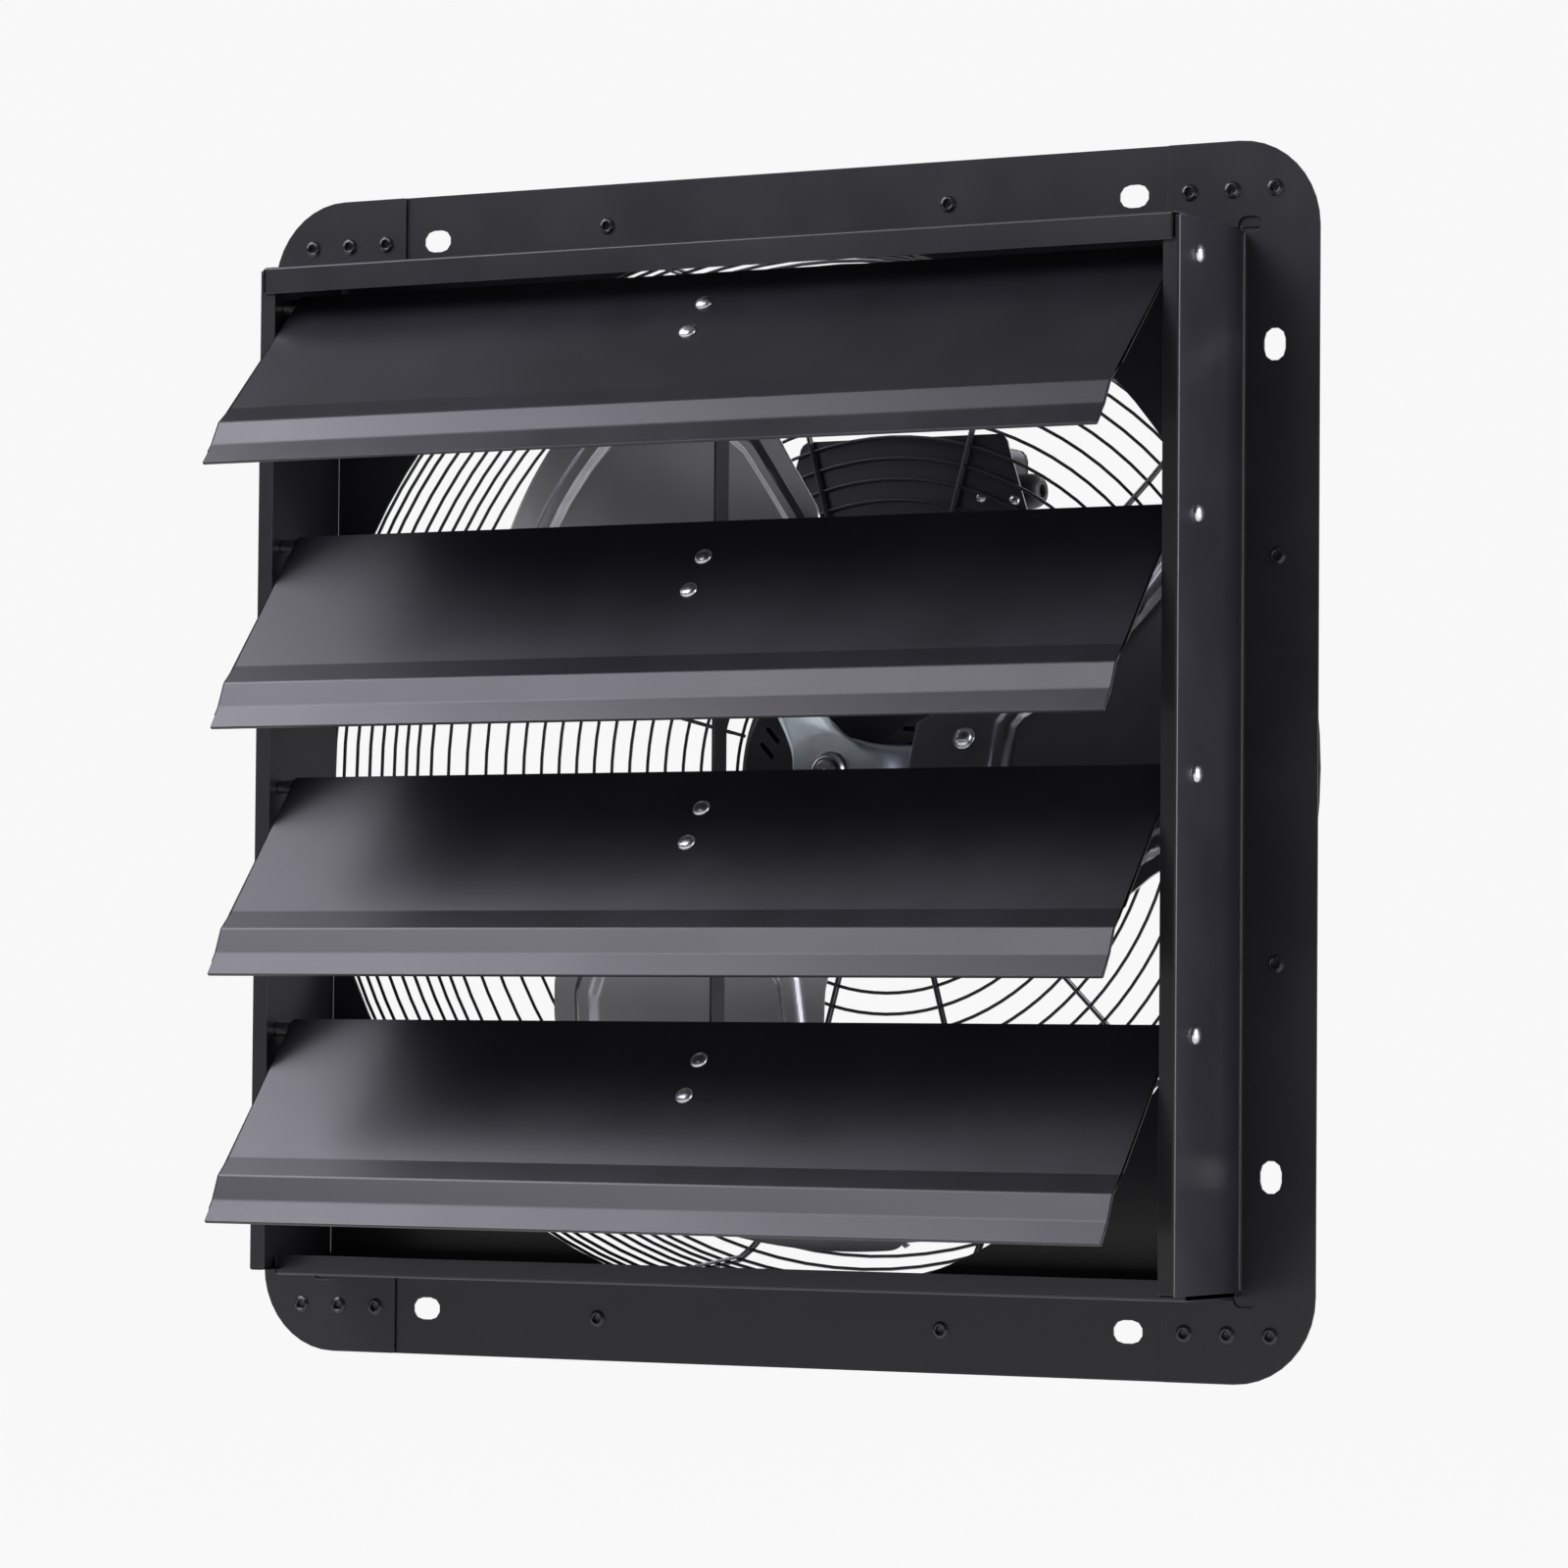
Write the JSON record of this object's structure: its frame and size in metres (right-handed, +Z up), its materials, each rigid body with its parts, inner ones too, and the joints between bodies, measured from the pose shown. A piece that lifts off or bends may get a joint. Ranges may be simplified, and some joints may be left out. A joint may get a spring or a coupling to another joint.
{
  "type": "shutter exhaust fan",
  "caption": "Square wall exhaust fan with gravity louvers on a tie bar, a pressed-blade impeller on an end-bell motor, a welded wire guard and a rear control box",
  "frame": {"origin": "the centre of the wall opening, on the plane that the flange lies against", "axes": "+X to the right seen from outdoors, +Y into the wall (louvers face -Y), +Z up"},
  "size_m": [0.56, 0.2977, 0.56],
  "materials": {
    "black_steel": "satin powder coat",
    "zinc_plate": "zinc plated",
    "spider_zinc": "grey zinc plate",
    "blade_aluminium": "dark satin",
    "bright_steel": "machined",
    "copper": "varnished copper winding",
    "iron": "bare laminations",
    "black_plastic": "fine matt"
  },
  "bodies": {
    "frame": {"frame_top": "black_steel", "frame_bottom": "black_steel", "frame_left": "black_steel", "frame_right": "black_steel", "corner_gusset_1": "black_steel", "corner_gusset_2": "black_steel", "corner_gusset_3": "black_steel", "corner_gusset_4": "black_steel", "pivot_pin_1_left": "zinc_plate", "pivot_pin_1_right": "zinc_plate", "pivot_pin_2_left": "zinc_plate", "pivot_pin_2_right": "zinc_plate", "pivot_pin_3_left": "zinc_plate", "pivot_pin_3_right": "zinc_plate", "pivot_pin_4_left": "zinc_plate", "pivot_pin_4_right": "zinc_plate", "guard_side": "black_steel", "guard_back": "black_steel", "motor_plate": "black_steel", "clamp_ring": "black_steel", "motor_front_bell": "black_steel", "motor_rear_bell": "black_steel", "stator_core": "iron", "winding_front": "copper", "winding_rear": "copper", "bearing_front": "bright_steel", "bearing_rear": "bright_steel", "box_plate": "black_steel", "control_box_case": "black_plastic", "control_box_lid": "black_plastic", "cable_gland": "zinc_plate", "run_capacitor": "bright_steel", "terminal_block": "black_plastic"},
    "rotor": {"rotor_core": "iron", "motor_shaft": "bright_steel", "hub_bush": "zinc_plate", "hub_spider": "spider_zinc", "hub_set_screw": "bright_steel", "blade_1": "blade_aluminium", "blade_2": "blade_aluminium", "blade_3": "blade_aluminium", "blade_bolt_1": "zinc_plate", "blade_bolt_2": "zinc_plate", "blade_bolt_3": "zinc_plate", "blade_bolt_4": "zinc_plate", "blade_bolt_5": "zinc_plate", "blade_bolt_6": "zinc_plate"},
    "louver_1": {"louver_1": "black_steel", "louver_bracket_1": "black_steel", "link_pin_1": "zinc_plate"},
    "louver_2": {"louver_2": "black_steel", "louver_bracket_2": "black_steel", "link_pin_2": "zinc_plate"},
    "louver_3": {"louver_3": "black_steel", "louver_bracket_3": "black_steel", "link_pin_3": "zinc_plate"},
    "louver_4": {"louver_4": "black_steel", "louver_bracket_4": "black_steel", "link_pin_4": "zinc_plate"},
    "tie_bar": {"tie_bar": "black_steel"}
  },
  "joints": [
    {"name": "louver_2_swing", "type": "hinge", "parent": "frame", "child": "louver_2", "pos_m": [0, -0.0499, 0.1075], "axis": [-1, 0, 0], "range_deg": [-36.5, 12]},
    {"name": "louver_1_swing", "type": "hinge", "parent": "frame", "child": "louver_1", "pos_m": [0, -0.0499, 0.2232], "axis": [-1, 0, 0], "range_deg": [-43, 14.5]},
    {"name": "louver_3_swing", "type": "hinge", "parent": "frame", "child": "louver_3", "pos_m": [0, -0.0499, -0.0082], "axis": [-1, 0, 0], "range_deg": [-37, 12.5]},
    {"name": "louver_4_swing", "type": "hinge", "parent": "frame", "child": "louver_4", "pos_m": [0, -0.0499, -0.1239], "axis": [-1, 0, 0], "range_deg": [-37, 12.5]},
    {"name": "tie_bar_link", "type": "hinge", "parent": "louver_2", "child": "tie_bar", "pos_m": [-0.0115, -0.0299, 0.0687], "axis": [-1, 0, 0], "range_deg": [-12.5, 37]},
    {"name": "fan_spin", "type": "hinge", "parent": "frame", "child": "rotor", "pos_m": [0, 0.0507, 0], "axis": [0, -1, 0], "continuous": true}
  ],
  "couplings": [
    {"joint": "louver_3_swing", "follows": "louver_2_swing", "ratio": 1},
    {"joint": "louver_4_swing", "follows": "louver_2_swing", "ratio": 1},
    {"joint": "louver_1_swing", "follows": "louver_2_swing", "ratio": 1.164},
    {"joint": "tie_bar_link", "follows": "louver_2_swing", "ratio": -1}
  ]
}
